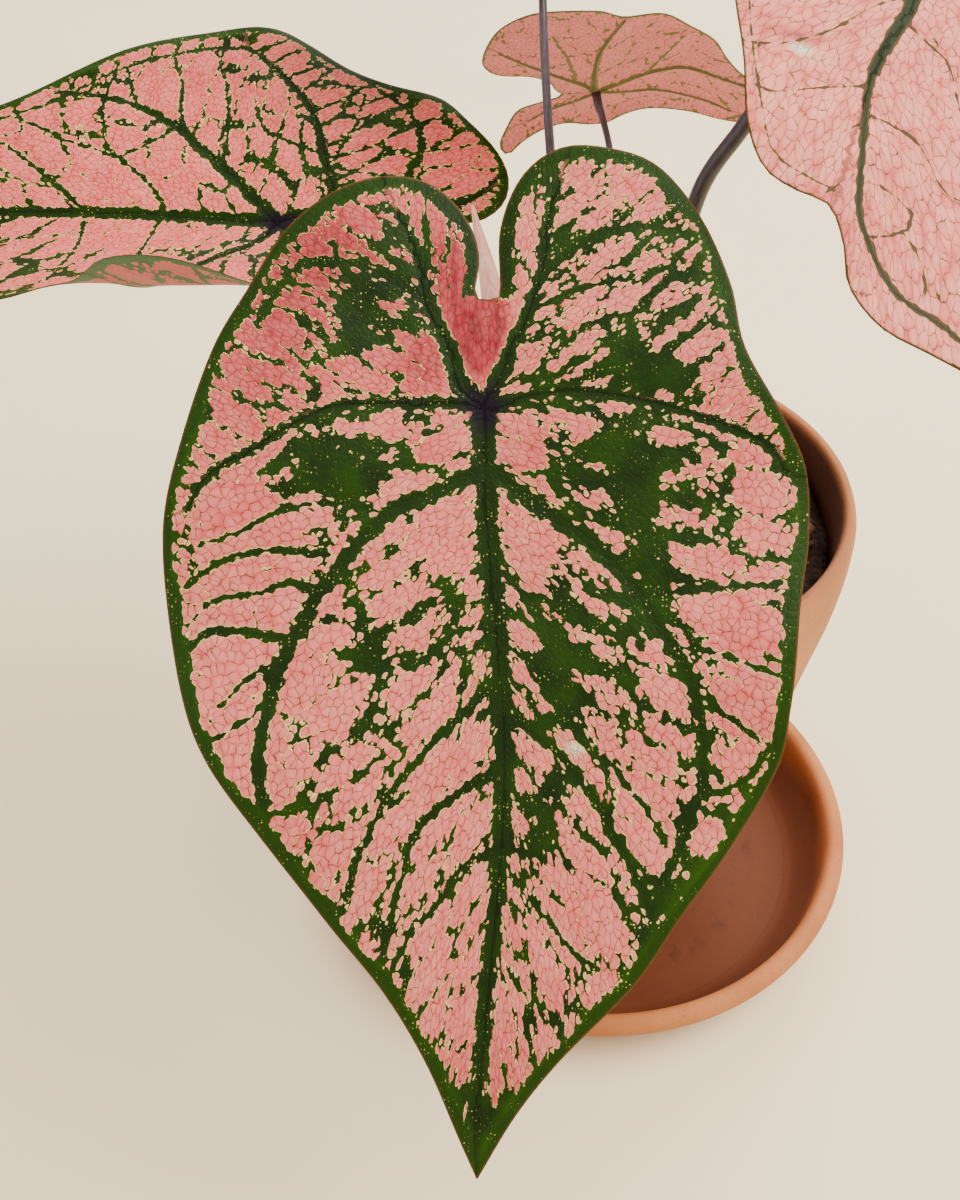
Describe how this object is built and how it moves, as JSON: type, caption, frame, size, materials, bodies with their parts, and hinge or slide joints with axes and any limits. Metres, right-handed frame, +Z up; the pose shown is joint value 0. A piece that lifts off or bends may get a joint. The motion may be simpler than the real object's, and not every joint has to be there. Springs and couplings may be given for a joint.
{
  "type": "potted caladium",
  "caption": "Pink and green caladium with heart-shaped leaves on slim stalks, in a round clay pot that stands on a clay saucer",
  "frame": {"origin": "the middle of the saucer's flat underside, which the part stands on", "axes": "+Z is up, the plant's front leaf hangs towards -Y, and +X is to the right as seen from the front"},
  "size_m": [0.4114, 0.3646, 0.3763],
  "materials": {
    "saucer_clay": "unglazed clay",
    "pot_clay": "unglazed clay",
    "soil": "loose and rough",
    "leaf": "satin",
    "stalk": "satin",
    "new_leaf": "satin"
  },
  "bodies": {
    "root": {"saucer": "saucer_clay", "pot": "pot_clay", "soil": "soil", "front_leaf_blade": "leaf", "front_leaf_stalk": "stalk", "left_leaf_blade": "leaf", "left_leaf_stalk": "stalk", "right_leaf_blade": "leaf", "right_leaf_stalk": "stalk", "back_leaf_blade": "leaf", "back_leaf_stalk": "stalk", "top_leaf_blade": "leaf", "top_leaf_stalk": "stalk", "new_leaf": "new_leaf"}
  },
  "joints": []
}
